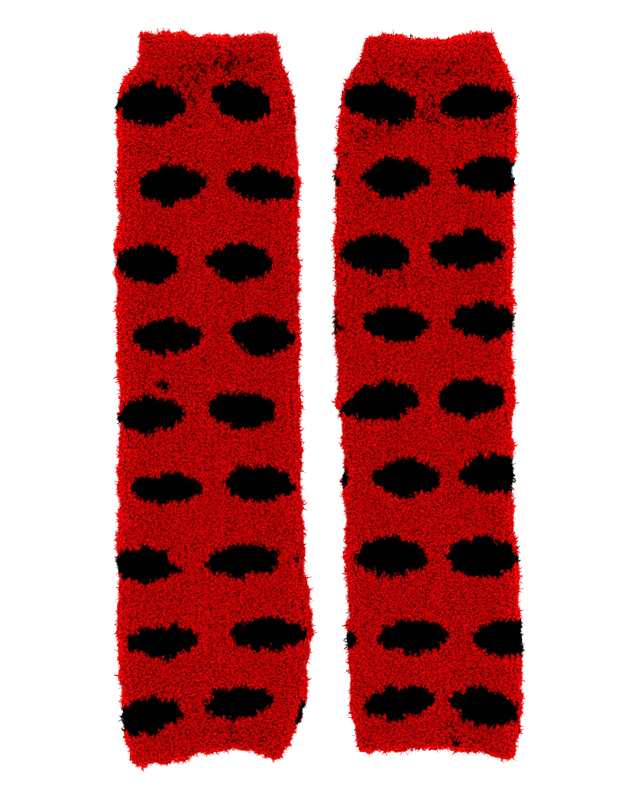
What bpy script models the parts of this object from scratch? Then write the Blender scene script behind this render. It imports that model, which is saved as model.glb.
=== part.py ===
"""Pair of toddler leg warmers in fuzzy yarn, laid flat side by side.

Metres, +Z up. The pair lies on the plane z = 0 with both top cuffs towards +Y.
Each leg warmer is a knitted tube in three pieces: a turned elastic cuff at the top, the
leg, and a shorter elastic cuff at the ankle. Every piece is one closed wall round an open
hollow. Laid flat, the two layers of the tube lie on each other, so the hollow is a slit
that widens at the side folds and at the mouths. The walls reach as far as the pile does.
"""
from collections import namedtuple
from math import cos, exp, pi, radians, sin, sqrt

import bmesh
import bpy
from mathutils import Vector

MM = 0.001

# Driving sizes, in millimetres.
LEG_HEIGHT = 8.8        # two layers of the leg, pile to pile, at the side folds
CUFF_HEIGHT = 9.6       # two layers of a doubled cuff
MIDDLE_SAG = 0.7        # how much lower the upper layer lies midway between the folds
SIDE_ROUND = 5.0        # how far a side fold takes to turn from one layer to the other
LOWER_WALL = 3.9        # layer that rests, with its pile
SIDE_WALL = 4.4         # wall at a side fold, seen from above
SLIT = 0.5              # between the layers where they lie on each other
SLIT_AT_FOLD = 0.6      # added along the side folds
SLIT_AT_MOUTH = 1.4     # added at a mouth
MOUTH_REACH = 6.0       # length over which a mouth closes to the slit
TOP_CUFF = 14.0         # length of the top cuff
BOTTOM_CUFF = 10.0      # length of the bottom cuff
SEAM_GAP = 0.3          # between a cuff and the leg
SEAM_DIP = 1.0          # how far the upper layer is drawn in where a cuff is joined
SEAM_DIP_SIDE = 0.3     # the same at each side fold
SEAM_REACH = 3.2        # length over which the cloth is drawn in, each side of the seam
RIM_ROUND = 3.0         # rounding of a hem
RIM_LIFT = 0.5          # share of that rounding on the side that rests
HEM_FADE = 55.0         # length over which the curve of a hem dies out in the leg

# Places of the two, in millimetres: the right one from the left one.
AXIS_SPACING = 91.5
RIGHT_HIGHER = 0.9

# Points round one section, and sections along the pieces.
LOWER_POINTS = 9
FOLD_POINTS = 5
UPPER_POINTS = 13
RIM_STEPS = (0.0, 0.5, 1.5, 3.0)
SEAM_STEPS = (0.0, 1.4, 3.2)
LEG_STEP = 10.5

# A section: distance below the top hem, middle across from the axis, half width.
Section = namedtuple("Section", "down middle half_width")
# A hem: rise midway between the corners, rise of the +X corner, lean of the rise to +X.
Hem = namedtuple("Hem", "rise tilt lean")
# A soft fold in the upper layer: its middle, half its length and breadth, its turn
# from the X axis in degrees, and its depth.
Fold = namedtuple("Fold", "across down half_length half_breadth turn depth")
LegWarmer = namedtuple("LegWarmer", "side place sections top_hem bottom_hem folds")

LEFT_SECTIONS = [
    Section(0, 0.1, 29.3), Section(6, 0.1, 29.7), Section(11, 0.3, 30.0),
    Section(15, 0.2, 31.6), Section(20, -0.6, 34.2), Section(25, -1.0, 36.0),
    Section(31, -0.8, 37.1), Section(40, -0.6, 37.5), Section(52, -0.5, 37.5),
    Section(66, -0.2, 38.3), Section(77, -0.2, 37.2), Section(95, -0.8, 38.5),
    Section(112, -0.2, 38.1), Section(128, 0.0, 38.5), Section(145, 0.3, 37.4),
    Section(166, 0.7, 37.9), Section(187, 0.7, 38.4), Section(203, 1.2, 38.3),
    Section(216, 0.9, 39.4), Section(232, 2.0, 39.7), Section(249, 2.5, 41.0),
    Section(262, 2.1, 39.6), Section(278, 2.1, 38.5), Section(287, 1.1, 37.0),
    Section(293, 0.4, 35.3), Section(297, 0.0, 33.6), Section(301, -0.5, 32.2),
    Section(305, -0.6, 31.2),
]
RIGHT_SECTIONS = [
    Section(0, 0.9, 27.0), Section(6, 0.7, 28.0), Section(11, 0.9, 29.7),
    Section(16, 0.4, 32.3), Section(21, 0.2, 34.7), Section(26, 0.2, 36.4),
    Section(32, 0.3, 37.0), Section(44, -0.6, 37.0), Section(58, -1.3, 37.1),
    Section(74, -1.4, 36.8), Section(90, -1.8, 37.5), Section(106, -2.0, 36.9),
    Section(124, -1.9, 37.7), Section(137, -1.6, 36.7), Section(152, -0.8, 37.2),
    Section(162, -0.6, 36.0), Section(176, 0.0, 35.4), Section(192, 0.1, 35.4),
    Section(208, 0.9, 35.2), Section(222, 1.8, 36.1), Section(238, 2.4, 35.7),
    Section(252, 2.6, 36.6), Section(266, 3.3, 36.2), Section(280, 3.2, 36.1),
    Section(287, 3.6, 35.6), Section(292, 3.7, 34.4), Section(297, 3.6, 33.2),
    Section(303, 4.0, 31.8),
]
LEFT_FOLDS = [
    Fold(3, 14, 22, 4.5, 16, 1.3), Fold(-16, 23, 12, 4.0, 30, 0.7),
    Fold(-24, 44, 11, 6.0, 10, 0.6), Fold(-3, 53, 14, 2.5, -6, 0.5),
    Fold(9, 74, 16, 3.0, 4, 0.4), Fold(-12, 122, 15, 3.5, 8, 0.4),
    Fold(8, 176, 12, 4.0, -20, 0.4), Fold(-4, 224, 14, 4.0, 35, 0.5),
    Fold(19, 261, 12, 4.5, -12, 0.5), Fold(17, 289, 16, 5.0, -14, 1.1),
]
RIGHT_FOLDS = [
    Fold(-3, 18, 15, 4.0, -4, 1.0), Fold(1, 34, 11, 6.0, 24, 0.9),
    Fold(-19, 44, 13, 5.5, 18, 0.8), Fold(5, 44, 12, 2.5, -5, 0.5),
    Fold(-22, 67, 10, 5.0, 8, 0.6), Fold(-22, 101, 11, 5.0, -6, 0.6),
    Fold(10, 140, 15, 3.5, -10, 0.4), Fold(-6, 190, 15, 4.0, 6, 0.4),
    Fold(-4, 262, 14, 4.0, 12, 0.5), Fold(13, 289, 14, 5.0, -30, 1.0),
]

LEG_WARMERS = [
    LegWarmer("left", (0.0, 0.0), LEFT_SECTIONS,
              Hem(-1.2, -0.4, -0.1), Hem(5.2, 0.3, 5.8), LEFT_FOLDS),
    LegWarmer("right", (AXIS_SPACING, RIGHT_HIGHER), RIGHT_SECTIONS,
              Hem(-3.2, 0.1, -0.1), Hem(3.9, -1.7, 0.7), RIGHT_FOLDS),
]


def clear_scene():
    for obj in list(bpy.data.objects):
        bpy.data.objects.remove(obj, do_unlink=True)


def yarn_material(name, colour):
    """Matt pile: the colour of the lit tips, no gloss."""
    material = bpy.data.materials.new(name)
    material.use_nodes = True
    shader = material.node_tree.nodes["Principled BSDF"]
    shader.inputs["Base Color"].default_value = (*colour, 1.0)
    shader.inputs["Roughness"].default_value = 0.95
    shader.inputs["Metallic"].default_value = 0.0
    return material


def length_of(warmer):
    return warmer.sections[-1].down


def section_at(warmer, down):
    """Middle and half width at a distance below the top hem, on a smooth curve."""
    rows = warmer.sections
    last = len(rows) - 1
    i = max(k for k in range(last) if rows[k].down <= down or k == 0)
    before, here = rows[max(i - 1, 0)], rows[i]
    there, after = rows[i + 1], rows[min(i + 2, last)]
    span = there.down - here.down
    t = (down - here.down) / span

    def curve(column):
        slope_here = (there[column] - before[column]) / (there.down - before.down) * span
        slope_there = (after[column] - here[column]) / (after.down - here.down) * span
        return ((2 * t**3 - 3 * t**2 + 1) * here[column] + (t**3 - 2 * t**2 + t) * slope_here
                + (3 * t**2 - 2 * t**3) * there[column] + (t**3 - t**2) * slope_there)

    return curve(1), curve(2)


def hem_rise(hem, s):
    """How far a hem lies towards +Y at s, from -1 at one side fold to 1 at the other."""
    return hem.rise * (1 - s * s) + hem.tilt * s + hem.lean * s * (1 - s * s)


def fade(distance):
    """1 at a hem, falling smoothly to 0 at HEM_FADE from it."""
    t = min(distance / HEM_FADE, 1.0)
    return 1 - t * t * (3 - 2 * t)


def rounding(distance):
    """How far a hem's rim is rounded off at a distance from its end."""
    t = 1 - min(distance / RIM_ROUND, 1.0)
    return RIM_ROUND * (1 - sqrt(1 - t * t))


def fold_depth(warmer, x, down):
    """Depth of the soft folds in the upper layer at a place."""
    depth = 0.0
    for fold in warmer.folds:
        dx, dy = x - fold.across, fold.down - down
        turn = radians(fold.turn)
        along = (dx * cos(turn) + dy * sin(turn)) / fold.half_length
        aside = (dy * cos(turn) - dx * sin(turn)) / fold.half_breadth
        depth += fold.depth * exp(-along * along - aside * aside)
    return depth


def point_at(warmer, x, down, z, s):
    """Place of a point of the wall, in metres, from the top of the leg warmer's axis."""
    y = (-down + hem_rise(warmer.top_hem, s) * fade(down)
         + hem_rise(warmer.bottom_hem, s) * fade(length_of(warmer) - down))
    return Vector((x, y, z)) * MM


def tube_ring(half_flat, side_reach, lower, upper):
    """(across, height) round a flattened tube, from the -X end of its lower layer.

    lower and upper give the height of each layer at a distance across; a half ellipse
    joins them at each side fold and reaches side_reach beyond the flat width.
    """
    ring = []
    for i in range(LOWER_POINTS):
        x = half_flat * (2 * i / (LOWER_POINTS - 1) - 1)
        ring.append((x, lower(x)))
    ring += side_fold(half_flat, side_reach, lower, upper)
    for i in range(UPPER_POINTS):
        x = half_flat * (1 - 2 * i / (UPPER_POINTS - 1))
        ring.append((x, upper(x)))
    ring += reversed(side_fold(-half_flat, -side_reach, lower, upper))
    return ring


def side_fold(edge, reach, lower, upper):
    """Points of a half ellipse from the lower layer up to the upper one."""
    middle = (upper(edge) + lower(edge)) / 2
    rise = (upper(edge) - lower(edge)) / 2
    angles = [pi * (i + 1) / (FOLD_POINTS + 1) - pi / 2 for i in range(FOLD_POINTS)]
    return [(edge + reach * cos(a), middle + rise * sin(a)) for a in angles]


def wall_rings(warmer, down, height, seams):
    """The outer and the inner ring of the wall at a distance below the top hem."""
    middle, half_width = section_at(warmer, down)
    to_hem = min(down, length_of(warmer) - down)
    to_seam = min(abs(down - seam) for seam in seams)
    drawn_in = exp(-(to_seam / SEAM_REACH) ** 2)
    rim = rounding(to_hem)
    half_outer = half_width - rim - SEAM_DIP_SIDE * drawn_in
    half_flat = half_outer - SIDE_ROUND

    def top(x):
        sag = MIDDLE_SAG * (1 - min(abs(x) / half_flat, 1.0) ** 2)
        return height - rim - SEAM_DIP * drawn_in - sag - fold_depth(warmer, middle + x, down)

    outer = tube_ring(half_flat, SIDE_ROUND, lambda x: rim * RIM_LIFT, top)

    half_inner = half_outer - SIDE_WALL + rim
    mouth = SLIT_AT_MOUTH * exp(-(to_hem / MOUTH_REACH) ** 2)
    slit_round = SIDE_ROUND / 2

    def slit(x):
        return SLIT + SLIT_AT_FOLD * (x / half_inner) ** 4 + mouth

    inner = tube_ring(half_inner - slit_round, slit_round,
                      lambda x: LOWER_WALL - slit(x) / 2,
                      lambda x: LOWER_WALL + slit(x) / 2)

    def placed(ring):
        return [point_at(warmer, middle + x, down, z, x / half_width) for x, z in ring]

    return placed(outer), placed(inner)


def add_wall(name, warmer, stations, heights, seams, material, collection):
    """One closed wall, lofted through its outer and inner rings."""
    mesh = bmesh.new()
    outer, inner = [], []
    for down, height in zip(stations, heights):
        outside, inside = wall_rings(warmer, down, height, seams)
        outer.append([mesh.verts.new(point) for point in outside])
        inner.append([mesh.verts.new(point) for point in inside])
    count = len(outer[0])

    def bridge(first, second):
        for i in range(count):
            j = (i + 1) % count
            mesh.faces.new((first[i], first[j], second[j], second[i]))

    for k in range(len(stations) - 1):
        bridge(outer[k + 1], outer[k])
        bridge(inner[k], inner[k + 1])
    bridge(outer[0], inner[0])
    bridge(inner[-1], outer[-1])
    bmesh.ops.recalc_face_normals(mesh, faces=mesh.faces)

    data = bpy.data.meshes.new(name)
    mesh.to_mesh(data)
    mesh.free()
    data.shade_smooth()
    data.set_sharp_from_angle(angle=radians(50))
    data.materials.append(material)
    piece = bpy.data.objects.new(name, data)
    collection.objects.link(piece)
    return piece


def spread(first, last, step):
    """Even places between two ends, about a step apart, without the ends."""
    count = round((last - first) / step)
    return [first + (last - first) * i / count for i in range(1, count)]


def blended_height(down, top_seam, bottom_seam):
    """Height of the two layers: the doubled cuffs are thicker than the leg."""
    past = max(top_seam - down, down - bottom_seam)
    share = min(max(past / SEAM_REACH, 0.0), 1.0)
    return LEG_HEIGHT + (CUFF_HEIGHT - LEG_HEIGHT) * share


def add_leg_warmer(warmer, material, collection, root):
    """Top cuff, leg and bottom cuff of one leg warmer, under an empty at its top hem."""
    length = length_of(warmer)
    top_seam, bottom_seam = TOP_CUFF, length - BOTTOM_CUFF
    half_gap = SEAM_GAP / 2
    steps_in = [half_gap + step for step in SEAM_STEPS]

    top = list(RIM_STEPS)
    top += spread(RIM_STEPS[-1], top_seam - steps_in[-1], 4.0)
    top += [top_seam - step for step in reversed(steps_in)]

    leg = [top_seam + step for step in steps_in]
    leg += spread(top_seam + steps_in[-1], bottom_seam - steps_in[-1], LEG_STEP)
    leg += [bottom_seam - step for step in reversed(steps_in)]

    bottom = [bottom_seam + step for step in steps_in]
    bottom += spread(bottom_seam + steps_in[-1], length - RIM_STEPS[-1], 4.0)
    bottom += [length - step for step in reversed(RIM_STEPS)]

    place = bpy.data.objects.new(warmer.side + "_place", None)
    place.location = Vector((*warmer.place, 0.0)) * MM
    place.parent = root
    collection.objects.link(place)

    pieces = []
    for part, stations in (("top_cuff", top), ("leg", leg), ("bottom_cuff", bottom)):
        heights = [blended_height(down, top_seam, bottom_seam) for down in stations]
        piece = add_wall(warmer.side + "_" + part, warmer, stations, heights,
                         (top_seam, bottom_seam), material, collection)
        piece.parent = place
        pieces.append(piece)
    return pieces


def centre_on_origin(root, pieces):
    """Move the pair so that the middle of its box is above the origin."""
    bpy.context.view_layer.update()
    corners = [piece.matrix_world @ Vector(corner)
               for piece in pieces for corner in piece.bound_box]
    for axis in (0, 1):
        values = [corner[axis] for corner in corners]
        root.location[axis] = -(min(values) + max(values)) / 2
    bpy.context.view_layer.update()


def build_pair():
    clear_scene()
    collection = bpy.data.collections.new("leg_warmers")
    bpy.context.scene.collection.children.link(collection)
    red = yarn_material("red_fuzzy_yarn", (0.50, 0.002, 0.003))
    root = bpy.data.objects.new("pair", None)
    collection.objects.link(root)
    pieces = []
    for warmer in LEG_WARMERS:
        pieces += add_leg_warmer(warmer, red, collection, root)
    centre_on_origin(root, pieces)


build_pair()
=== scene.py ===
"""The looks of a pair of fuzzy feather-yarn leg warmers, laid flat and seen from above.

Each cuff and leg is a thin knitted shell inside its CAD solid, and its pile is joined
meshes of small bent tufts rooted on that shell, whose tips reach the solid's surface.
A tuft is black where its middle lies over a charted dot, and red elsewhere.
"""
from collections import namedtuple

import bpy
import numpy as np
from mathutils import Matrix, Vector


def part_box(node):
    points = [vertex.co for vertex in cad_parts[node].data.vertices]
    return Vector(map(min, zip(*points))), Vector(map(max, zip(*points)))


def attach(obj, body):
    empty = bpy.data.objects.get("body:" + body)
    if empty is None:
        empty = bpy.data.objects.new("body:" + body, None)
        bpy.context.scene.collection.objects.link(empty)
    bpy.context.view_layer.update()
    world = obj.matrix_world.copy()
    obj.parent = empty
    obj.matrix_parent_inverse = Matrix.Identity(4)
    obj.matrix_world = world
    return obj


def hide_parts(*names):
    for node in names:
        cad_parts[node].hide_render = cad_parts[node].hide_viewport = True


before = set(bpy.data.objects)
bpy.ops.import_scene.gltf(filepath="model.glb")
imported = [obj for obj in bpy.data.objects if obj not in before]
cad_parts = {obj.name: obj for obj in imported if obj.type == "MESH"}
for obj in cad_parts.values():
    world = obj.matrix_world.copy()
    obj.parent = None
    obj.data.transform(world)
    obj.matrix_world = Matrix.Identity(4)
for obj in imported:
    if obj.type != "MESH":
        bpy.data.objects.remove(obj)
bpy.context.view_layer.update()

MM = 0.001
SEED = 7

# ---------------------------------------------------------------- sizes, in millimetres
# The solids have these sizes too, but for the slit's sway, and for the right leg
# warmer's hems and the corners of its top cuff, which follow the photo closer here.
LEG_HEIGHT = 8.8
CUFF_HEIGHT = 9.6
MIDDLE_SAG = 0.7        # how much lower the upper layer lies in the middle
SIDE_ROUND = 5.0        # how far in from the outline a side fold is rounded
LOWER_WALL = 3.9        # height of the slit's middle
SIDE_WALL = 4.4         # from the outline to the slit
SLIT = 0.5              # height of the slit between the two layers
SLIT_AT_FOLD = 0.6      # how much higher it is at the side folds
SLIT_AT_MOUTH = 1.4     # how much higher it is at the hems
SLIT_SWAY = 0.6         # how far it rises and falls along the tube
SLIT_WAVE = 150.0       # how far it is from one rise to the next
MOUTH_REACH = 6.0       # how fast the mouth narrows to the slit
TOP_CUFF = 14.0
BOTTOM_CUFF = 10.0
SEAM_GAP = 0.3          # between a cuff and the leg
SEAM_DIP = 1.0          # how much lower the upper layer lies at a cuff's seam
SEAM_DIP_SIDE = 0.3     # how much narrower each side is there
SEAM_REACH = 3.2        # how far from a seam the knit is drawn in
RIM_ROUND = 3.0         # how far from a hem its edge is rounded
RIM_LIFT = 0.5          # how much of that rounding the lower layer has
HEM_FADE = 55.0         # how far from a hem its curve still bends the rows

# The grids of points that the shells and the tufts are built on.
SHELL_STEP = 2.5        # size of the shell's faces
ROOT_STEP = 0.6         # size of the cells that roots are spread over
RING_HALF_WIDTH = 37.0  # half width that a ring's points are counted for
FOLD_RUN = 0.9 * np.pi * SIDE_ROUND     # round a side fold, from one layer to the other
NEAR_HEM = (0.04, 0.15, 0.35, 0.65)     # more rings next to a hem, as shares of a step
TINY = 1e-9

# The pile, and the knit that it grows from.
Pile = namedtuple("Pile", "above round below")
PILE = Pile(1.5, 1.5, 0.7)      # how deep the knit lies: above, at folds and mouths, below
NO_PILE = Pile(0.0, 0.0, 0.0)
MOUTH_PILE = 0.8        # how far from a hem the knit turns in at the mouth
MOUTH_RIM = 0.2         # where the innermost tufts are, on the way out from slit to turn
UPPER = 0.7             # rise of a normal, from which the knit is the upper layer's
BELOW = -0.8            # rise of a normal, under which it is the lower layer's
TUFTS_ABOVE = 4.2       # tufts for each square millimetre of knit
TUFTS_ROUND = 5.5       # the same on the side folds and round the mouths
TUFTS_BELOW = 0.4       # the same on the lower layer
SPREAD = (0.7548776662, 0.5698402910)     # steps that spread points evenly over a square
OUTLINE_WANDER = 0.75   # how far the rows of stitches at the outline stand out or in
MOST_IN_ONE = 50.0      # a longer piece has its red pile in two meshes

# A tuft: how large it is, and how it stands. Angles from the normal are in degrees.
TUFT_LENGTH = 2.3
LENGTHS = (0.85, 1.15)  # shortest and longest, beside that
ROUND_LENGTH = 0.92     # how long the tufts of the side folds and mouths are beside others
TUFT_RADIUS = 0.18
RADII = (0.75, 1.2)     # thinnest and thickest, beside that
ROUND_RADIUS = 1.55     # how thick they are on the folds and mouths beside others
BLUNT = 0.6             # share of the upper layer's tufts that are widest at their tips
BLUNT_ELSEWHERE = 0.75  # the same on the folds, the mouths and the lower layer
TILT = (57, 10)         # how far tufts lean over: the mean, and how much it varies
TILT_LIMITS = (5, 80)
TILT_BELOW = (72, 86)   # least and most on the lower layer
FLATTEST = 88           # how far over a tip may lie
STRAYS = 0.045          # share of the tufts that stand out far beyond the others
STRAY_TILT = 0.6        # how far over they lean beside others
STRAY_LENGTH = 1.6      # how long they are beside others
BEND_SHARE = 0.55       # how far along its length a tuft bends
BEND_BACK = 0.25        # how much steeper it stands below its bend, in radians
BEND_ON = 0.45          # how much flatter it lies above its bend, in radians
LOWEST_TIP = 0.05       # how near the ground a tip may come
GOLDEN_SHARE = 0.618    # of a turn, from a tuft's direction to the next one's
LEAN_SPREAD = 0.3       # how much that direction varies, in radians
ASLANT = 1.1            # how much farther tufts lean round the tube than along it

# Painted light and shade in the pile's colour, each told as a power of e that multiplies a
# tuft's tone.
BRIGHTEST = 2.4         # the brightest tuft, as a multiple of the yarn's colour
TONE_SPREAD = 0.03      # how much single tufts vary
WALE = 2.7              # width of a stitch
HALF_WALES = 13.7       # stitches in half the width of a layer
COURSE = 2.5            # height of a stitch, as the light and dark rows show it
WALE_LIGHT = 0.09       # painted light and shade: how much lighter a stitch is in the middle of its width
COURSE_LIGHT = 0.03     # the same in its height
ROW_WAVES = ((0.5, 2.3, 5.1), (0.6, 6.7, -3.9))     # height, a radian's run both ways
WALE_WAVE = (0.5, 7.7)  # how the wales wave: in radians, and how far one runs down
RIM_LIGHT = 0.355       # painted light: how much lighter the pile is near the outline
RIM_FADE = 6.0          # how fast that fades away inwards
TIP_LIGHT = 0.15        # painted light: how much lighter still the tufts at the outline itself are
TIP_FADE = 0.6          # how fast that fades away inwards
INNER_SHADE = 0.14      # painted shade: how much less RIM_LIGHT is on the sides that face each other
MIDDLE_LIGHT = 0.05     # painted light: how much lighter the pile is along the middle
MIDDLE_FADE = 0.25      # how fast that fades, as a share of the half width
UNLIT = -0.5            # rise of a normal, under which the pile gets none of this painted light
HEM_SHADE = 4.0         # how much farther off the bottom hem counts as lying, giving its middle less painted light
GAPS = 0.13             # share of the pile with painted shadow where it is parted
GAP_SIZE = (1.0, 0.7)   # how large its gaps of painted shadow are, across and down
GAP_DARK = 3.5          # how much darker that painted shadow makes them
PARTED = 0.5            # how much thinner the pile is there
ROOT_END = 0.4          # how far along a tuft the root's painted shade reaches
TIP_START = 0.9         # where along it the tip's colour begins
# The yarn darkens towards its roots as painted shade deep in the pile; the tips hold its own
# colour.
RED_ROOT, RED_TIP = (0.135, 0.0003, 0.0004), (0.492, 0.0012, 0.0016)
BLACK_ROOT, BLACK_TIP = (0.0001,) * 3, (0.0003,) * 3
# The knit is far darker than the pile's yarn, as painted shade deep under the pile; its mottle
# between the two colours is the yarn's own.
RED_DEEP, RED_HIGH = (0.02, 0.0001, 0.0001), (0.06, 0.0003, 0.0003)
BLACK_DEEP, BLACK_HIGH = (0.0001,) * 3, (0.0002,) * 3

# ---------------------------------------------------------------- charts of the pair
# A section: distance below the top hem, middle across from the axis, half width.
Section = namedtuple("Section", "down middle half_width")
# A hem: rise midway between the corners, rise of the +X corner, lean of the rise to +X.
Hem = namedtuple("Hem", "rise tilt lean")
# A soft fold in the upper layer: its middle, half its length and breadth, its turn
# from the X axis in degrees, and its depth.
Fold = namedtuple("Fold", "across down half_length half_breadth turn depth")
# A black dot: its middle, its half sizes, and its turn from the X axis in degrees.
Dot = namedtuple("Dot", "across down half_width half_height turn")
# A place where the pile is parted: thinner, with painted shadow in small gaps and its
# painted-dark roots showing. Its middle, half its length and breadth, its turn, and its
# strength.
Parting = namedtuple("Parting", "across down half_length half_breadth turn strength")
# A loose tuft at the outline: its root, the way it points in degrees from the X axis,
# its length and breadth, and 1 if it is black.
LooseTuft = namedtuple("LooseTuft", "across down way length breadth black")
# A leg warmer. Its leg_top is how far towards +Y from the top of its axis the leg's
# solid reaches, and bits are charted as dots are.
LegWarmer = namedtuple("LegWarmer",
                       "side leg_top sections top_hem bottom_hem folds partings dots bits loose")

LEFT_SECTIONS = [
    Section(0, 0.1, 29.3), Section(6, 0.1, 29.7), Section(11, 0.3, 30.0),
    Section(15, 0.2, 31.6), Section(20, -0.6, 34.2), Section(25, -1.0, 36.0),
    Section(31, -0.8, 37.1), Section(40, -0.6, 37.5), Section(52, -0.5, 37.5),
    Section(66, -0.2, 38.3), Section(77, -0.2, 37.2), Section(95, -0.8, 38.5),
    Section(112, -0.2, 38.1), Section(128, 0.0, 38.5), Section(145, 0.3, 37.4),
    Section(166, 0.7, 37.9), Section(187, 0.7, 38.4), Section(203, 1.2, 38.3),
    Section(216, 0.9, 39.4), Section(232, 2.0, 39.7), Section(249, 2.5, 41.0),
    Section(262, 2.1, 39.6), Section(278, 2.1, 38.5), Section(287, 1.1, 37.0),
    Section(293, 0.4, 35.3), Section(297, 0.0, 33.6), Section(301, -0.5, 32.2),
    Section(305, -0.6, 31.2),
]
RIGHT_SECTIONS = [
    Section(0, 1.2, 22.6), Section(1.5, 1.1, 25.2), Section(3.5, 0.8, 27.2),
    Section(6, 0.7, 28.2), Section(11, 0.9, 29.7),
    Section(16, 0.4, 32.3), Section(21, 0.2, 34.7), Section(26, 0.2, 36.4),
    Section(32, 0.3, 37.0), Section(44, -0.6, 37.0), Section(58, -1.3, 37.1),
    Section(74, -1.4, 36.8), Section(90, -1.8, 37.5), Section(106, -2.0, 36.9),
    Section(124, -1.9, 37.7), Section(137, -1.6, 36.7), Section(152, -0.8, 37.2),
    Section(162, -0.6, 36.0), Section(176, 0.0, 35.4), Section(192, 0.1, 35.4),
    Section(208, 0.9, 35.2), Section(222, 1.8, 36.1), Section(238, 2.4, 35.7),
    Section(252, 2.6, 36.6), Section(266, 3.3, 36.2), Section(280, 3.2, 36.1),
    Section(287, 3.6, 35.6), Section(292, 3.7, 34.4), Section(297, 3.6, 33.2),
    Section(303, 4.0, 31.8),
]
LEFT_FOLDS = [
    Fold(3, 14, 22, 4.5, 16, 1.3), Fold(-16, 23, 12, 4.0, 30, 0.7),
    Fold(-24, 44, 11, 6.0, 10, 0.6), Fold(-3, 53, 14, 2.5, -6, 0.5),
    Fold(9, 74, 16, 3.0, 4, 0.4), Fold(-12, 122, 15, 3.5, 8, 0.4),
    Fold(8, 176, 12, 4.0, -20, 0.4), Fold(-4, 224, 14, 4.0, 35, 0.5),
    Fold(19, 261, 12, 4.5, -12, 0.5), Fold(17, 289, 16, 5.0, -14, 1.1),
]
RIGHT_FOLDS = [
    Fold(-3, 18, 15, 4.0, -4, 1.0), Fold(1, 34, 11, 6.0, 24, 0.9),
    Fold(-19, 44, 13, 5.5, 18, 0.8), Fold(5, 44, 12, 2.5, -5, 0.5),
    Fold(-22, 67, 10, 5.0, 8, 0.6), Fold(-22, 101, 11, 5.0, -6, 0.6),
    Fold(10, 140, 15, 3.5, -10, 0.4), Fold(-6, 190, 15, 4.0, 6, 0.4),
    Fold(-4, 262, 14, 4.0, 12, 0.5), Fold(13, 289, 14, 5.0, -30, 1.0),
]
LEFT_PARTINGS = [
    Parting(8, 13, 12, 4.5, 0, 1.2), Parting(-7, 18, 7, 6, 0, 0.7),
    Parting(-6, 22, 20, 4, 0, 0.5), Parting(-8, 30, 4, 9, 0, 0.6),
    Parting(-19, 51, 14, 4, 0, 0.1), Parting(14, 290, 14, 4, -10, 0.35),
]
RIGHT_PARTINGS = [
    Parting(-3, 18, 16, 5, 0, 0.9), Parting(3, 33, 7, 7, 0, 0.9),
    Parting(-20, 41, 12, 5, 15, 0.8), Parting(-22, 67, 10, 5, 8, 0.3),
    Parting(28, 38, 8, 4, 0, 0.5), Parting(-16, 101, 16, 4, 0, 0.3),
    Parting(8, 286, 8, 4, 0, 0.45), Parting(13, 293, 10, 3, -20, 0.25),
]
# The dots of the upper layer, two to a row. The knit has four to a round.
LEFT_DOTS = [
    Dot(-23.4, 30.2, 14.7, 8.8, 1), Dot(14.2, 29.0, 13.6, 7.6, -17),
    Dot(-15.2, 63.6, 13.7, 7.9, 2), Dot(22.3, 63.6, 15.0, 6.9, -11),
    Dot(-24.6, 96.5, 14.2, 7.5, 1), Dot(13.2, 95.8, 13.7, 7.7, -1),
    Dot(-16.7, 126.7, 14.5, 7.3, 2), Dot(23.5, 126.2, 13.7, 7.7, -6),
    Dot(-23.6, 159.2, 14.5, 7.4, 2), Dot(14.8, 157.3, 14.4, 7.6, -4),
    Dot(-16.4, 189.8, 15.1, 6.4, 1), Dot(22.0, 187.7, 14.6, 7.3, -2),
    Dot(-25.8, 221.6, 13.7, 7.1, -5), Dot(14.8, 219.6, 15.7, 6.7, 2),
    Dot(-17.8, 253.0, 15.6, 6.6, 4), Dot(25.0, 250.2, 16.1, 6.5, -1),
    Dot(-24.7, 283.9, 14.2, 7.5, 11), Dot(13.0, 278.7, 13.5, 7.0, 5),
]
RIGHT_DOTS = [
    Dot(-19.1, 30.7, 15.5, 8.2, -10), Dot(20.2, 30.5, 15.2, 7.0, 4),
    Dot(-13.0, 61.2, 14.0, 8.0, 1), Dot(25.3, 60.3, 13.9, 7.9, -3),
    Dot(-21.5, 93.1, 14.8, 8.0, -2), Dot(16.1, 91.7, 15.8, 7.7, 4),
    Dot(-13.1, 122.5, 13.8, 7.6, -4), Dot(23.4, 121.1, 13.6, 7.5, 0),
    Dot(-19.0, 154.2, 15.2, 7.8, 8), Dot(18.2, 153.0, 13.8, 8.5, 0),
    Dot(-8.8, 186.1, 14.1, 7.9, 0), Dot(26.8, 184.6, 13.4, 8.4, -3),
    Dot(-14.3, 219.0, 14.9, 7.9, -3), Dot(22.6, 218.9, 15.0, 8.4, -2),
    Dot(-5.9, 252.3, 15.3, 7.0, 2), Dot(33.4, 252.8, 14.1, 8.0, -2),
    Dot(-11.7, 279.5, 15.3, 6.6, 6), Dot(23.6, 281.4, 14.5, 7.3, -13),
]
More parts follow.
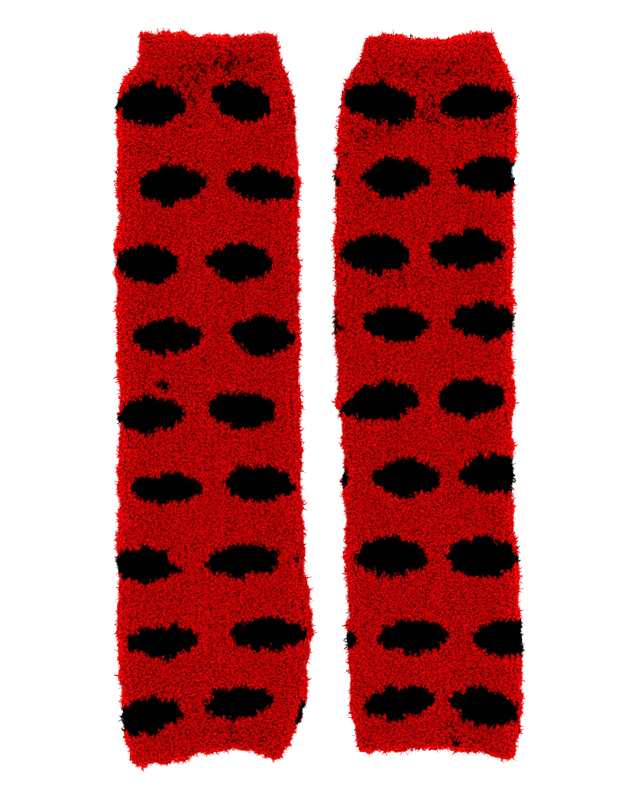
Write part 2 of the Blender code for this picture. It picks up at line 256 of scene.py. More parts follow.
# Ends of the lower layer's dots that come round the side folds, and stray black stitches.
LEFT_BITS = [
    Dot(37.4, 284.7, 1.4, 2.6, -20), Dot(39.2, 279.8, 0.9, 2.6, 0),
    Dot(37.4, 219.7, 0.6, 0.6, 0), Dot(-18.9, 146.8, 2.5, 1.4, 0),
]
RIGHT_BITS = [
    Dot(-38.6, 122.8, 2.2, 3.4, 0), Dot(-34.9, 186.2, 1.9, 3.4, 0),
    Dot(-32.2, 253.0, 2.3, 3.8, 0), Dot(-34.3, 158.6, 2.7, 2.4, 0),
    Dot(-38.2, 56.2, 1.0, 1.0, 0), Dot(-38.0, 63.3, 0.9, 1.8, 0),
    Dot(12.9, 296.1, 1.2, 0.7, -25),
]
LEFT_LOOSE = [
    LooseTuft(-26.3, 0.6, 95, 1.5, 0.4, 0), LooseTuft(-25.2, 0.6, 85, 1.8, 0.4, 0),
    LooseTuft(-23.4, 0.6, 92, 1.4, 0.4, 0), LooseTuft(-21.3, 0.6, 88, 2.4, 0.8, 0),
    LooseTuft(36.8, 62.8, 0, 3.2, 0.7, 0), LooseTuft(36.8, 63.6, -35, 1.8, 0.5, 0),
    LooseTuft(-37.2, 70.0, 135, 2.2, 0.5, 0), LooseTuft(37.2, 93.5, 2, 1.8, 0.4, 0),
    LooseTuft(37.6, 97.9, 20, 2.0, 0.6, 0), LooseTuft(39.3, 97.4, -85, 1.5, 0.6, 0),
    LooseTuft(39.4, 98.9, 200, 1.6, 0.6, 0), LooseTuft(37.6, 101.0, -10, 1.6, 0.9, 0),
]
RIGHT_LOOSE = [
    LooseTuft(-37.6, 156.0, 143, 3.2, 0.6, 0), LooseTuft(-33.2, 255.2, 235, 2.9, 0.6, 1),
    LooseTuft(-7.3, 299.2, 243, 2.8, 0.6, 0), LooseTuft(-7.6, 4.0, 78, 2.4, 1.0, 1),
    LooseTuft(-6.3, 4.0, 104, 2.1, 1.0, 1),
]
BACK_SPACING = 40.0     # from a dot of the upper layer to the next one, on the lower
BACK_HALF_WIDTH = 12.8
DOT_SQUARENESS = 1.75   # 2 is an ellipse; less is more pointed at the ends
DOT_SPREAD = 0.35       # added to a dot's half sizes, as red tufts lean in over its edge
SMALLEST = 0.01         # keeps a dot's very middle from a division by nothing
FAR = 99.0              # farther from a dot than any place is
DOT_RAGGED = 0.45       # how far single stitches move a dot's edge
TUFT_RAGGED = 0.1       # the same for single tufts
STITCHED = 0.75         # share of a dot's edge that steps along whole stitches
STITCH_V = 1.8          # how much deeper a stitch reaches in its middle than at its sides
UPRIGHT = 0.8           # how far the tufts at a dot's edge stand along the wales
UPRIGHT_FADE = 1.8      # how fast that fades away from the edge
DOT_LIGHT = 0.12        # painted light: how much lighter the red pile is beside a dot
DOT_FADE = 1.3          # how fast that fades away from the edge

LEG_WARMERS = [
    LegWarmer("left", -13.69, LEFT_SECTIONS, Hem(-1.2, -0.4, -0.1), Hem(5.2, 0.3, 5.8),
              LEFT_FOLDS, LEFT_PARTINGS, LEFT_DOTS, LEFT_BITS, LEFT_LOOSE),
    LegWarmer("right", -13.99, RIGHT_SECTIONS, Hem(-3.9, 1.3, -2.2), Hem(4.1, -2.6, 2.5),
              RIGHT_FOLDS, RIGHT_PARTINGS, RIGHT_DOTS, RIGHT_BITS, RIGHT_LOOSE),
]

# Tables of random numbers. Each place looks its number up, so that a whole stitch, row
# or gap shares one.
STITCH_NOISE = np.random.default_rng(SEED).normal(0, DOT_RAGGED, (130, 160))
WANDER_NOISE = np.random.default_rng(SEED + 1).normal(0, OUTLINE_WANDER, (4, 130))
GAP_NOISE = np.random.default_rng(SEED + 2).random((400, 160))
MIDDLE_WALE = {"left": 40, "right": 120}    # column that a middle stitch looks up
MIDDLE_GAP = 80                             # column that a gap at the axis looks up
HEM_PLACE = 100.0       # how far down the outline's wander is read for a hem's middle


# ---------------------------------------------------------------- the wall's surface
def section_at(warmer, down):
    """The middle and the half width at distances below the top hem.

    Each runs smoothly through what the charted sections say.
    """
    place, *columns = np.array(warmer.sections, float).T
    last = len(place) - 1
    i = np.clip(np.searchsorted(place, down, side="right") - 1, 0, last - 1)
    before, after = np.maximum(i - 1, 0), np.minimum(i + 2, last)
    span = place[i + 1] - place[i]
    t = (down - place[i]) / span
    curves = []
    for rise in columns:
        slope_here = (rise[i + 1] - rise[before]) / (place[i + 1] - place[before]) * span
        slope_there = (rise[after] - rise[i]) / (place[after] - place[i]) * span
        curve = ((2 * t**3 - 3 * t**2 + 1) * rise[i] + (t**3 - 2 * t**2 + t) * slope_here
                 + (3 * t**2 - 2 * t**3) * rise[i + 1] + (t**3 - t**2) * slope_there)
        curves.append(curve)
    return curves


def length_of(warmer):
    """From the top hem to the bottom one, along the axis."""
    return warmer.sections[-1].down


def hem_rise(hem, s):
    """How far a hem lies towards +Y at s, from -1 at one side fold to 1 at the other."""
    return hem.rise * (1 - s * s) + hem.tilt * s + hem.lean * s * (1 - s * s)


def fade(distance):
    """1 at a hem, falling smoothly to 0 at HEM_FADE from it."""
    t = np.minimum(distance / HEM_FADE, 1.0)
    return 1 - t * t * (3 - 2 * t)


def hollows(places, x, down):
    """Sum of soft-edged folds or partings at places of the upper layer."""
    total = np.zeros_like(x)
    for across, middle, half_length, half_breadth, degrees, most in places:
        dx, dy = x - across, middle - down
        turn = np.radians(degrees)
        along = (dx * np.cos(turn) + dy * np.sin(turn)) / half_length
        aside = (dy * np.cos(turn) - dx * np.sin(turn)) / half_breadth
        total += most * np.exp(-along**2 - aside**2)
    return total


def ring_shape(step):
    """Where the points of a ring lie: a share of the flat width, and an angle.

    The angle is -90 degrees on the lower layer and 90 on the upper one, and turns
    between them at the side folds. It starts at the -X end of the lower layer.
    """
    flats = round(2 * (RING_HALF_WIDTH - SIDE_ROUND) / step)
    turns = round(FOLD_RUN / step)
    across = np.linspace(-1, 1, flats)
    angle = np.linspace(-90, 90, turns + 2)[1:-1]
    share = np.concatenate([across, np.ones(turns), -across, -np.ones(turns)])
    quarter = np.full(flats, 90.0)
    turn = np.concatenate([-quarter, angle, quarter, angle[::-1]])
    return share, np.radians(turn)


def stations(first, last, step, finer_first, finer_last):
    """Distances below the top hem, closer together towards an end that is a hem."""
    count = round((last - first) / step)
    inner = list(np.linspace(first, last, count + 1)[1:-1])
    near = [share * step for share in NEAR_HEM]
    start = [first + d for d in near] if finer_first else []
    end = [last - d for d in near] if finer_last else []
    return np.array(sorted([first, *start, *inner, *end, last]))


def outer_surface(warmer, down, shape, pile):
    """Points (stations, ring, 3) of the wall's outside, drawn in by the pile's depth.

    Also gives each point's place across on the unrolled knit, where the lower layer
    carries on beyond the side folds. Millimetres from the top of the axis.
    """
    share, turn = shape
    length = length_of(warmer)
    seams = (TOP_CUFF, length - BOTTOM_CUFF)
    down = down[:, None]
    middle, half_width = section_at(warmer, down)
    to_hem = np.minimum(down, length - down)
    to_seam = np.minimum(abs(down - seams[0]), abs(down - seams[1]))
    drawn_in = np.exp(-(to_seam / SEAM_REACH) ** 2)
    past_seam = np.maximum(seams[0] - down, down - seams[1])
    height = LEG_HEIGHT + (CUFF_HEIGHT - LEG_HEIGHT) * np.clip(past_seam / SEAM_REACH, 0, 1)

    radius = RIM_ROUND - pile.round / 2
    t = 1 - np.clip((to_hem - pile.round) / radius, 0, 1)
    rim = radius * (1 - np.sqrt(1 - t * t))
    half_outer = half_width - rim - SEAM_DIP_SIDE * drawn_in
    half_flat = half_outer - SIDE_ROUND
    flat_x = half_flat * share
    sag = MIDDLE_SAG * (1 - share**2)
    upper = (height - pile.above - rim - SEAM_DIP * drawn_in - sag
             - hollows(warmer.folds, middle + flat_x, down))
    lower = pile.below + rim * RIM_LIFT
    reach = SIDE_ROUND - pile.round
    x = flat_x + reach * np.cos(turn) * np.sign(share)
    z = (upper + lower) / 2 + (upper - lower) / 2 * np.sin(turn)
    points = placed(warmer, middle, x, down, z, half_width)

    half_thick = (upper - lower) / 2
    # About a quarter of the way round an ellipse, from the side fold to a layer.
    quarter = np.pi / 2 * np.sqrt((reach**2 + half_thick**2) / 2)
    beyond = quarter * -turn / (np.pi / 2) + half_flat * (1 - abs(share))
    lower_run = np.sign(share) * (half_flat + reach + beyond)
    unrolled = middle + np.where(turn < 0, lower_run, x)
    return points, unrolled


def placed(warmer, middle, x, down, z, half_width):
    """Points in millimetres from the top of the axis, with the hems' curves."""
    s = x / half_width
    y = (-down + hem_rise(warmer.top_hem, s) * fade(down)
         + hem_rise(warmer.bottom_hem, s) * fade(length_of(warmer) - down))
    return np.stack(np.broadcast_arrays(middle + x, y, z), axis=-1)


def inner_surface(warmer, down, shape):
    """Points (stations, ring, 3) of the slit between the two layers."""
    share, turn = shape
    down = down[:, None]
    middle, half_width = section_at(warmer, down)
    to_hem = np.minimum(down, length_of(warmer) - down)
    mouth = SLIT_AT_MOUTH * np.exp(-(to_hem / MOUTH_REACH) ** 2)
    half_inner = half_width - SIDE_WALL
    slit_round = SIDE_ROUND / 2
    flat_x = (half_inner - slit_round) * share
    gap = SLIT + SLIT_AT_FOLD * (flat_x / half_inner) ** 4 + mouth
    x = flat_x + slit_round * np.cos(turn) * np.sign(share)
    sway = SLIT_SWAY * np.sin(2 * np.pi * down / SLIT_WAVE)
    z = LOWER_WALL + sway + gap / 2 * np.sin(turn)
    return placed(warmer, middle, x, down, z, half_width)


# ---------------------------------------------------------------- the dots
def all_dots(warmer):
    """The upper layer's dots and the lower layer's, in places across the unrolled knit."""
    dots = list(warmer.dots) + list(warmer.bits)
    for left, right in zip(warmer.dots[0::2], warmer.dots[1::2]):
        behind = left._replace(half_width=BACK_HALF_WIDTH, turn=0)
        dots.append(behind._replace(across=left.across - BACK_SPACING))
        dots.append(behind._replace(across=right.across + BACK_SPACING))
    return dots


def past_dots(warmer, across, down):
    """How far a place lies outside the nearest dot, or less than 0 inside one.

    It is worked out mostly for the middle of the place's stitch, so that the dots'
    edges step along whole stitches.
    """
    middle, half_width = section_at(warmer, down)
    wale_width = half_width / HALF_WALES
    wale = np.floor((across - middle) / wale_width).astype(int)
    from_middle = abs((across - middle) / wale_width - wale - 0.5) * 2
    down = down + STITCH_V * (from_middle - 0.5)
    course = np.floor(down / COURSE).astype(int)
    across = STITCHED * (middle + (wale + 0.5) * wale_width) + (1 - STITCHED) * across
    down = STITCHED * (course + 0.5) * COURSE + (1 - STITCHED) * down
    nearest = np.full(across.shape, FAR)
    for dot in all_dots(warmer):
        dx, dy = across - dot.across, dot.down - down
        turn = np.radians(dot.turn)
        u = abs(dx * np.cos(turn) + dy * np.sin(turn)) / (dot.half_width + DOT_SPREAD)
        v = abs(dy * np.cos(turn) - dx * np.sin(turn)) / (dot.half_height + DOT_SPREAD)
        size = (u**DOT_SQUARENESS + v**DOT_SQUARENESS) ** (1 / DOT_SQUARENESS)
        outside = 1 - 1 / np.maximum(size, SMALLEST)
        nearest = np.minimum(nearest, outside * np.hypot(dx, dy))
    row = course % len(STITCH_NOISE)
    return nearest - STITCH_NOISE[row, wale + MIDDLE_WALE[warmer.side]]


# ---------------------------------------------------------------- materials
def node_material(name):
    """A new material, with its nodes, its links and its shader."""
    material = bpy.data.materials.new(name)
    material.use_nodes = True
    nodes = material.node_tree.nodes
    return material, nodes, material.node_tree.links, nodes["Principled BSDF"]


def pile_material(name, root, tip, sheen):
    """Yarn of the pile: painted shade darkens each tuft towards its root, and its tip is bright;
    each has its own tone, which also carries painted light and shade.

    A tuft's map holds its tone across and the way from its root to its tip along.
    """
    material, nodes, links, shader = node_material(name)
    yarn = nodes.new("ShaderNodeUVMap")
    yarn.uv_map = "Yarn"
    split = nodes.new("ShaderNodeSeparateXYZ")
    links.new(yarn.outputs["UV"], split.inputs[0])
    ramp = nodes.new("ShaderNodeValToRGB")
    ramp.color_ramp.elements[0].position = ROOT_END
    ramp.color_ramp.elements[0].color = (*root, 1)
    ramp.color_ramp.elements[1].position = TIP_START
    ramp.color_ramp.elements[1].color = (*tip, 1)
    links.new(split.outputs["Y"], ramp.inputs["Fac"])
    tone_and_light = nodes.new("ShaderNodeMath")
    tone_and_light.operation = "MULTIPLY"
    tone_and_light.inputs[1].default_value = BRIGHTEST
    links.new(split.outputs["X"], tone_and_light.inputs[0])
    shade = nodes.new("ShaderNodeVectorMath")
    shade.operation = "SCALE"
    links.new(ramp.outputs["Color"], shade.inputs[0])
    links.new(tone_and_light.outputs["Value"], shade.inputs["Scale"])
    links.new(shade.outputs["Vector"], shader.inputs["Base Color"])
    shader.inputs["Roughness"].default_value = 0.9
    shader.inputs["Specular IOR Level"].default_value = 0.0
    shader.inputs["Sheen Weight"].default_value = sheen
    shader.inputs["Sheen Roughness"].default_value = 0.6
    shader.inputs["Sheen Tint"].default_value = (*tip, 1)
    return material


def knit_material(name, dark, light):
    """The knit under the pile: mottled yarn, far darker than the pile's as painted shade, with
    its courses as low ridges.
    """
    material, nodes, links, shader = node_material(name)
    place = nodes.new("ShaderNodeTexCoord")
    noise = nodes.new("ShaderNodeTexNoise")
    noise.inputs["Scale"].default_value = 900
    noise.inputs["Detail"].default_value = 3
    links.new(place.outputs["Object"], noise.inputs["Vector"])
    ramp = nodes.new("ShaderNodeValToRGB")
    ramp.color_ramp.elements[0].position = 0.35
    ramp.color_ramp.elements[0].color = (*dark, 1)
    ramp.color_ramp.elements[1].position = 0.7
    ramp.color_ramp.elements[1].color = (*light, 1)
    links.new(noise.outputs["Fac"], ramp.inputs["Fac"])
    links.new(ramp.outputs["Color"], shader.inputs["Base Color"])
    courses = nodes.new("ShaderNodeTexWave")
    courses.bands_direction = "Y"
    courses.inputs["Scale"].default_value = 130
    courses.inputs["Distortion"].default_value = 1.5
    links.new(place.outputs["Object"], courses.inputs["Vector"])
    bump = nodes.new("ShaderNodeBump")
    bump.inputs["Strength"].default_value = 0.8
    bump.inputs["Distance"].default_value = 0.0006
    links.new(courses.outputs["Fac"], bump.inputs["Height"])
    links.new(bump.outputs["Normal"], shader.inputs["Normal"])
    shader.inputs["Roughness"].default_value = 0.95
    shader.inputs["Specular IOR Level"].default_value = 0.0
    return material


RED_PILE = pile_material("red_feather_yarn", RED_ROOT, RED_TIP, sheen=0.08)
BLACK_PILE = pile_material("black_feather_yarn", BLACK_ROOT, BLACK_TIP, sheen=0.0)
RED_KNIT = knit_material("red_knit", RED_DEEP, RED_HIGH)
BLACK_KNIT = knit_material("black_knit", BLACK_DEEP, BLACK_HIGH)


# ---------------------------------------------------------------- meshes
def add_piece(name, vertices, faces, materials):
    """One piece of the part, which rides its only body."""
    mesh = bpy.data.meshes.new(name)
    mesh.from_pydata(vertices, [], faces, shade_flat=False)
    for material in materials:
        mesh.materials.append(material)
    piece = bpy.data.objects.new(name, mesh)
    bpy.context.scene.collection.objects.link(piece)
    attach(piece, "root")
    return piece


def grid_faces(first, second, count):
    """Quads between two rings of points, given their first indices."""
    i = np.arange(count)
    j = (i + 1) % count
    return np.stack([first + i, first + j, second + j, second + i], axis=1)


def add_shell(name, warmer, down, origin):
    """The knit of one piece: a closed wall whose outside lies a pile's depth in.

    Gives the piece, and its mean length round the tube in metres.
    """
    shape = ring_shape(SHELL_STEP)
    outside, unrolled = outer_surface(warmer, down, shape, PILE)
    inside = inner_surface(warmer, down, shape)
    rings, count = outside.shape[:2]
    vertices = (np.concatenate([outside, inside]).reshape(-1, 3) + origin) * MM
    faces = [grid_faces((k + 1) * count, k * count, count) for k in range(rings - 1)]
    faces += [grid_faces((rings + k) * count, (rings + k + 1) * count, count)
              for k in range(rings - 1)]
    faces.append(grid_faces(0, rings * count, count))
    faces.append(grid_faces((2 * rings - 1) * count, (rings - 1) * count, count))
    shell = add_piece(name, vertices, np.concatenate(faces), [RED_KNIT, BLACK_KNIT])

    black = past_dots(warmer, unrolled[:-1], -outside[:-1, :, 1]) < 0
    slots = np.zeros(len(shell.data.polygons), np.int32)
    slots[:black.size] = black.ravel()
    shell.data.polygons.foreach_set("material_index", slots)
    round_it = np.linalg.norm(np.diff(outside, axis=1, append=outside[:, :1]), axis=2)
    return shell, float(round_it.sum(axis=1).mean()) * MM


# A tuft's faces, and how far along the tuft each of its four points counts as lying.
TUFT_FACES = np.array([(0, 1, 2), (3, 2, 1), (0, 3, 1), (0, 2, 3)])
POINTED_ALONG = np.array([0.0, BEND_SHARE, BEND_SHARE, 1.0])
BLUNT_ALONG = np.array([0.0, 1.0, 1.0, BEND_SHARE])
TUFT_POINTS = len(BLUNT_ALONG)


def add_tufts(name, tufts, chosen, origin, material):
    """One mesh of the chosen tufts: each a bent sliver of four points.

    A pointed one is widest at its bend, and a blunt one at its tip.
    """
    root, bend, tip = (tufts[part][chosen] for part in ("root", "bend", "tip"))
    blunt = tufts["blunt"][chosen]
    side = unit(np.cross(tip - root, tufts["normal"][chosen]))
    side *= tufts["radius"][chosen][:, None]
    pointed_points = np.stack([root, bend + side, bend - side, tip], axis=1)
    blunt_points = np.stack([root, tip - side, tip + side, bend], axis=1)
    vertices = (np.where(blunt[:, None, None], blunt_points, pointed_points) + origin) * MM
    count = len(root)
    faces = (np.arange(count)[:, None, None] * TUFT_POINTS + TUFT_FACES).reshape(-1, 3)
    piece = add_piece(name, vertices.reshape(-1, 3), faces, [material])
    yarn = np.empty((count, TUFT_POINTS, 2), np.float32)
    yarn[:, :, 0] = tufts["tone_and_light"][chosen][:, None]
    yarn[:, :, 1] = np.where(blunt[:, None], BLUNT_ALONG, POINTED_ALONG)
    layer = piece.data.uv_layers.new(name="Yarn", do_init=False)
    layer.uv.foreach_set("vector", yarn.reshape(-1, 2)[faces.ravel()].ravel())
    return piece


def unit(vectors):
    """The vectors, each made 1 long."""
    return vectors / np.maximum(np.linalg.norm(vectors, axis=-1, keepdims=True), TINY)


# ---------------------------------------------------------------- the pile
def mouth_ring(outside, inside):
    """The innermost ring of roots, part of the way from a hem's turn to the slit."""
    return outside * MOUTH_RIM + inside * (1 - MOUTH_RIM)


def scatter(weight):
    """As many points as the weights of a grid's cells add up to, spread evenly over them.

    Gives each point's cell, counted along the rows, and how far the point lies across
    and down in it.
    """
    sums = np.cumsum(weight.ravel())
    columns = weight.shape[1]
    row_sums = sums[columns - 1::columns]
    count = int(sums[-1])
    spread = (0.5 + np.arange(count)[:, None] * SPREAD) % 1
    at = spread[:, 0] * sums[-1]
    row = np.searchsorted(row_sums, at)
    row_weight = weight.sum(axis=1)[row]
    row_start = row_sums[row] - row_weight
    target = row_start + spread[:, 1] * row_weight
    cell = np.searchsorted(sums, target).clip(row * columns, (row + 1) * columns - 1)
    down = (at - row_start) / row_weight
    across = 1 - ((sums[cell] - target) / weight.ravel()[cell]).clip(0, 1)
    return cell, across[:, None], down[:, None]


def spread_tufts(warmer, down, hem_first, hem_last, rng):
    """All the tufts over the outside of one piece and round its mouth."""
    shape = ring_shape(ROOT_STEP)
    points, unrolled = outer_surface(warmer, down, shape, PILE)
    inside = inner_surface(warmer, down, shape)
    if hem_first:
        points = np.concatenate([mouth_ring(points[:1], inside[:1]), points])
        unrolled = np.concatenate([unrolled[:1], unrolled])
    if hem_last:
        points = np.concatenate([points, mouth_ring(points[-1:], inside[-1:])])
        unrolled = np.concatenate([unrolled, unrolled[-1:]])
    here, round_next = points[:-1], np.roll(points, -1, axis=1)[:-1]
    down_next, across_next = points[1:], np.roll(points, -1, axis=1)[1:]
    cross = np.cross(round_next - down_next, across_next - here)
    area = np.linalg.norm(cross, axis=2) / 2
    facing = unit(cross)
    parted = np.exp(-PARTED * hollows(warmer.partings, here[:, :, 0], -here[:, :, 1]))
    density = np.where(facing[:, :, 2] < BELOW, TUFTS_BELOW,
                       TUFTS_ROUND + (TUFTS_ABOVE - TUFTS_ROUND) * abs(facing[:, :, 2]))
    cell, u, v = scatter(area * (density * parted))

    k, i = np.divmod(cell, facing.shape[1])
    root = ((1 - u) * (1 - v) * here[k, i] + u * (1 - v) * round_next[k, i]
            + (1 - u) * v * down_next[k, i] + u * v * across_next[k, i])
    normal = facing[k, i]
    round_it = unit((round_next - here)[k, i])
    across = unrolled[k, i] + (u[:, 0] - 0.5) * ROOT_STEP
    rank = np.argsort(np.argsort(cell))
    lean = lean_of(warmer, root, normal, round_it, across, rank, rng)
    tufts = shape_tufts(warmer, root, normal, lean, rng)
    return tufts | colour_tufts(warmer, tufts, across, rng)


def lean_of(warmer, root, normal, round_it, across, rank, rng):
    """Which way each tuft leans: near one of the knit's four diagonals, by turns.

    Beside a dot's edge the tufts lean along the wales instead.
    """
    along_it = np.cross(normal, round_it)
    quarter = np.floor(4 * (rank[:, None] * GOLDEN_SHARE % 1))
    angle = np.pi / 2 * (quarter + 0.5) + rng.normal(0, LEAN_SPREAD, (len(root), 1))
    beside_dot = np.exp(-(past_dots(warmer, across, -root[:, 1]) / UPRIGHT_FADE) ** 2)
    aslant = ASLANT * (1 - UPRIGHT * beside_dot)[:, None]
    return unit(round_it * np.cos(angle) * aslant + along_it * np.sin(angle))


def shape_tufts(warmer, root, normal, lean, rng):
    """Bends, tips, thickness and bluntness of the tufts."""
    count = len(root)
    is_below = normal[:, 2:] < BELOW
    stray = (rng.random((count, 1)) < STRAYS) & ~is_below
    tilt = np.where(is_below, rng.uniform(*TILT_BELOW, (count, 1)),
                    rng.normal(*TILT, (count, 1)).clip(*TILT_LIMITS))
    tilt = np.radians(np.where(stray, tilt * STRAY_TILT, tilt))
    length = TUFT_LENGTH * rng.uniform(*LENGTHS, (count, 1))
    length *= np.where(stray, STRAY_LENGTH, 1)
    length *= ROUND_LENGTH + (1 - ROUND_LENGTH) * abs(normal[:, 2:])
    radius = TUFT_RADIUS * rng.uniform(*RADII, count)
    radius *= ROUND_RADIUS + (1 - ROUND_RADIUS) * abs(normal[:, 2])

    def reach(share, angle_from_normal):
        """A share of each tuft's length, the way that it leans."""
        return share * length * (normal * np.cos(angle_from_normal)
                                 + lean * np.sin(angle_from_normal))

    outward = normal * (1 - abs(normal[:, 2:])) * wander(warmer, root, normal)[:, None]
    bend = root + outward + reach(BEND_SHARE, tilt - BEND_BACK)
    tip = bend + reach(1 - BEND_SHARE, np.minimum(tilt + BEND_ON, np.radians(FLATTEST)))
    bend[:, 2] = np.maximum(bend[:, 2], TUFT_RADIUS)
    tip[:, 2] = np.maximum(tip[:, 2], LOWEST_TIP)
    blunt = rng.random(count) < np.where(normal[:, 2] < UPPER, BLUNT_ELSEWHERE, BLUNT)
    return {"root": root, "bend": bend, "tip": tip, "normal": normal,
            "radius": radius, "blunt": blunt}


def colour_tufts(warmer, tufts, across, rng):
    """The tone of each tuft, with its painted light and shade, and whether it is black, as the
    middle of its bulk has it.
    """
    root, bend, tip, normal = (tufts[part] for part in ("root", "bend", "tip", "normal"))
    count = len(root)
    middle = np.where(tufts["blunt"][:, None], (bend + tip) / 2, bend)
    x, down = middle[:, 0], -middle[:, 1]
    across = across + (x - root[:, 0]) * np.where(normal[:, 2] < 0, -1, 1)
    past_dot = past_dots(warmer, across, down) + rng.normal(0, TUFT_RAGGED, count)
    # Painted light and shade from the ribs, the outline, the parted gaps and the dots' edges;
    # only the random spread is the yarn's own tone.
    shade = (rng.normal(0, TONE_SPREAD, count) + rib_shade(warmer, across, down)
             + shading(warmer, x, down, normal)
             - GAP_DARK * (in_gap(warmer, middle) | in_gap(warmer, tip))
             + DOT_LIGHT * np.exp(-(past_dot / DOT_FADE) ** 2))
    return {"tone_and_light": (np.exp(shade) / BRIGHTEST).clip(0, 1), "black": past_dot < 0}


def loose_tufts(warmer, first, last):
    """The loose tufts that are rooted in one piece, halfway up its side. All are blunt."""
    nearest = np.clip([tuft.down for tuft in warmer.loose], MOUTH_PILE,
                      length_of(warmer) - MOUTH_PILE)
    here = (nearest >= first) & (nearest <= last)
    across, down, way, length, breadth, black = np.array(warmer.loose, float)[here].T
    way = np.radians(way)
    root = np.stack([across, -down, np.full_like(down, LEG_HEIGHT / 2)], axis=1)
    lean = np.stack([np.cos(way), np.sin(way), np.zeros_like(way)], axis=1)
    upright = np.zeros_like(root) + (0, 0, 1)
    # Each gets the outline's painted light in its tone.
    return {"root": root, "tip": root + lean * length[:, None],
            "bend": root + lean * length[:, None] / 2 + upright * breadth[:, None] / 2,
            "normal": upright, "radius": breadth / 2, "blunt": np.full(len(down), True),
            "tone_and_light": np.full_like(down, np.exp(RIM_LIGHT) / BRIGHTEST), "black": black > 0}


def wander(warmer, root, normal):
    """How far the knit at each root stands out beyond its outline.

    Each side fold of the pair has its own row of numbers, which the half hems on its
    side look up too.
    """
    side = 2 * (warmer.side == "right") + (root[:, 0] > 0)
    at_hem = abs(normal[:, 1]) > abs(normal[:, 0])
    place = np.where(at_hem, root[:, 0] + HEM_PLACE, -root[:, 1])
    rows = np.arange(WANDER_NOISE.shape[1]) * COURSE
    return np.choose(side, [np.interp(place, rows, row) for row in WANDER_NOISE])


def rib_shade(warmer, across, down):
    """Painted light and shade of the knit's wales and courses, as a tuft's tone shows them."""
    middle, half_width = section_at(warmer, down)
    across = (across - middle) / half_width * HALF_WALES * WALE
    wobble = sum(height * np.sin(across / run_across + down / run_down)
                 for height, run_across, run_down in ROW_WAVES)
    sway = WALE_WAVE[0] * np.sin(down / WALE_WAVE[1])
    wale = np.cos(2 * np.pi * across / WALE + sway)
    course = np.cos(2 * np.pi * (down + wobble) / COURSE)
    return WALE_LIGHT * wale + COURSE_LIGHT * course


def shading(warmer, x, down, normal):
    """Painted light on the pile near the outline and along the middle, less on the sides that
    face each other.
    """
    middle, half_width = section_at(warmer, down)
    to_side = half_width - abs(x - middle)
    s = (x - middle) / half_width
    to_top = down + hem_rise(warmer.top_hem, s)
    to_bottom = length_of(warmer) - down - hem_rise(warmer.bottom_hem, s)
    to_hem = np.minimum(to_top, to_bottom + HEM_SHADE * (1 - s * s))
    to_edge = np.minimum(to_side, to_hem).clip(0)
    inward = s if warmer.side == "left" else -s
    rim_light = RIM_LIGHT - INNER_SHADE * inward.clip(0, 1)
    lighter = (rim_light * np.exp(-(to_edge / RIM_FADE) ** 2)
               + TIP_LIGHT * np.exp(-to_edge / TIP_FADE)
               + MIDDLE_LIGHT * np.exp(-(s / MIDDLE_FADE) ** 2))
    return np.where(normal[:, 2] > UNLIT, lighter, 0)


def in_gap(warmer, points):
    """Which points lie in the small gaps of painted shadow where the pile is parted."""
    x, down = points[:, 0], -points[:, 1]
    row = (down / GAP_SIZE[1]).astype(int) % len(GAP_NOISE)
    column = (x / GAP_SIZE[0] + MIDDLE_GAP).astype(int)
    parted = hollows(warmer.partings, x, down)
    return (GAP_NOISE[row, column] < GAPS * parted) & (points[:, 2] > LOWER_WALL)


def add_pile(name, warmer, down, hem_first, hem_last, origin, rng):
    """Red and black pile of one piece, in stretches that stay small enough."""
    tufts = spread_tufts(warmer, down, hem_first, hem_last, rng)
    loose = loose_tufts(warmer, down[0], down[-1])
    tufts = {part: np.concatenate([tufts[part], loose[part]]) for part in loose}
    black = tufts["black"]
    place = -tufts["root"][:, 1]
    stretches = 2 if down[-1] - down[0] > MOST_IN_ONE else 1
    limits = np.linspace(place.min(), place.max(), stretches + 1)
    stretch = np.clip(np.searchsorted(limits, place) - 1, 0, stretches - 1)
    pieces = []
    for number in range(stretches):
        red = (stretch == number) & ~black
        piece_name = f"{name}_red_pile_{number + 1}"
        pieces.append(add_tufts(piece_name, tufts, red, origin, RED_PILE))
    if black.any():
        pieces.append(add_tufts(name + "_dot_pile", tufts, black, origin, BLACK_PILE))
    return pieces


def axis_origin(warmer):
    """Where the top of the axis lies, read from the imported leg's box."""
    length = length_of(warmer)
    down = stations(TOP_CUFF, length - BOTTOM_CUFF, SHELL_STEP, False, False)
    points, _ = outer_surface(warmer, down, ring_shape(SHELL_STEP), NO_PILE)
    own_x = points[:, :, 0]
    low, high = (np.array(corner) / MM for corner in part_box(warmer.side + "_leg"))
    x = (low[0] + high[0]) / 2 - (own_x.min() + own_x.max()) / 2
    return np.array([x, high[1] - warmer.leg_top, 0.0])


def dress(warmer, rng):
    """The knit and the pile of one leg warmer."""
    origin = axis_origin(warmer)
    length = length_of(warmer)
    half_gap = SEAM_GAP / 2
    spans = {
        "top_cuff": (TOP_CUFF, MOUTH_PILE, TOP_CUFF - half_gap, True, False),
        "leg": (length - TOP_CUFF - BOTTOM_CUFF, TOP_CUFF + half_gap,
                length - BOTTOM_CUFF - half_gap, False, False),
        "bottom_cuff": (BOTTOM_CUFF, length - BOTTOM_CUFF + half_gap,
                        length - MOUTH_PILE, False, True),
    }
    for part, (shown, first, last, hem_first, hem_last) in spans.items():
        name = f"{warmer.side}_{part}"
        down = stations(first, last, SHELL_STEP, hem_first, hem_last)
        shell, girth = add_shell(name + "_knit", warmer, down, origin)
        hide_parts(name)
        finer = stations(first, last, ROOT_STEP, hem_first, hem_last)
        pile = add_pile(name, warmer, finer, hem_first, hem_last, origin, rng)


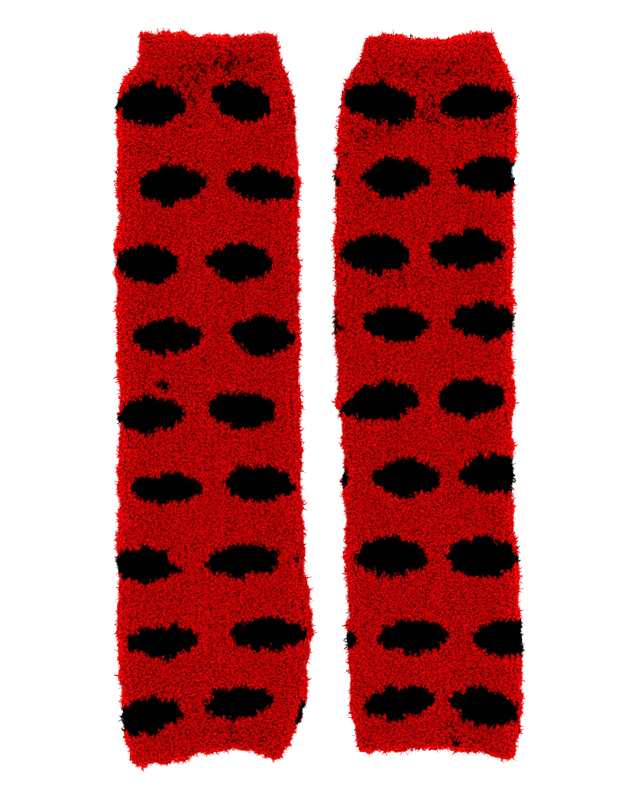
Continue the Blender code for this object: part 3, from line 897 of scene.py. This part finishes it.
# ---------------------------------------------------------------- stage, in metres
FLOOR_SIZE = 6
FLOOR_DROP = 0.0002         # how far the floor lies under the pair
LAMP_REACH = 1.1            # how high a lamp stands, and how far off along Y
LAMP_SIZE = 1.0
LAMP_POWER = 34
SKY_STRENGTH = 1.07
PIXEL = 0.416 * MM
PHOTO_ROWS = 800
PHOTO_MIDDLE = (0.00062, -0.00062)      # where the photograph's middle lies on the pair
CAMERA_REACH = 1.6          # from the camera down to the side folds
SENSOR = 36.0


def add_floor():
    """A pale floor, which isn't part of the pair."""
    bpy.ops.mesh.primitive_plane_add(size=FLOOR_SIZE, location=(0, 0, -FLOOR_DROP))
    floor = bpy.context.object
    floor.name = "floor"
    material, nodes, links, shader = node_material("pale_floor")
    shader.inputs["Base Color"].default_value = (0.9, 0.9, 0.9, 1)
    shader.inputs["Roughness"].default_value = 0.9
    shader.inputs["Specular IOR Level"].default_value = 0.0
    floor.data.materials.append(material)


def add_softbox(name, y):
    """A square lamp that faces the middle of the pair."""
    lamp = bpy.data.lights.new(name, "AREA")
    lamp.size = LAMP_SIZE
    lamp.energy = LAMP_POWER
    holder = bpy.data.objects.new(name, lamp)
    holder.location = (0, y, LAMP_REACH)
    holder.rotation_euler = (-holder.location).to_track_quat("-Z", "Y").to_euler()
    bpy.context.scene.collection.objects.link(holder)


def add_camera():
    """Straight down, with the photograph's frame at the height of the side folds."""
    camera = bpy.data.cameras.new("camera")
    camera.sensor_width = SENSOR
    camera.lens = SENSOR * CAMERA_REACH / (PHOTO_ROWS * PIXEL)
    holder = bpy.data.objects.new("camera", camera)
    holder.location = (*PHOTO_MIDDLE, CAMERA_REACH + LEG_HEIGHT / 2 * MM)
    bpy.context.scene.collection.objects.link(holder)
    bpy.context.scene.camera = holder


def add_world():
    """Even white light from all round."""
    world = bpy.data.worlds.new("studio")
    world.use_nodes = True
    sky = world.node_tree.nodes["Background"]
    sky.inputs["Color"].default_value = (1, 1, 1, 1)
    sky.inputs["Strength"].default_value = SKY_STRENGTH
    bpy.context.scene.world = world


add_camera()
rng = np.random.default_rng(SEED)
for leg_warmer in LEG_WARMERS:
    dress(leg_warmer, rng)
add_floor()
add_world()
add_softbox("head_key", LAMP_REACH)
add_softbox("foot_key", -LAMP_REACH)
bpy.context.scene.view_settings.view_transform = "Standard"
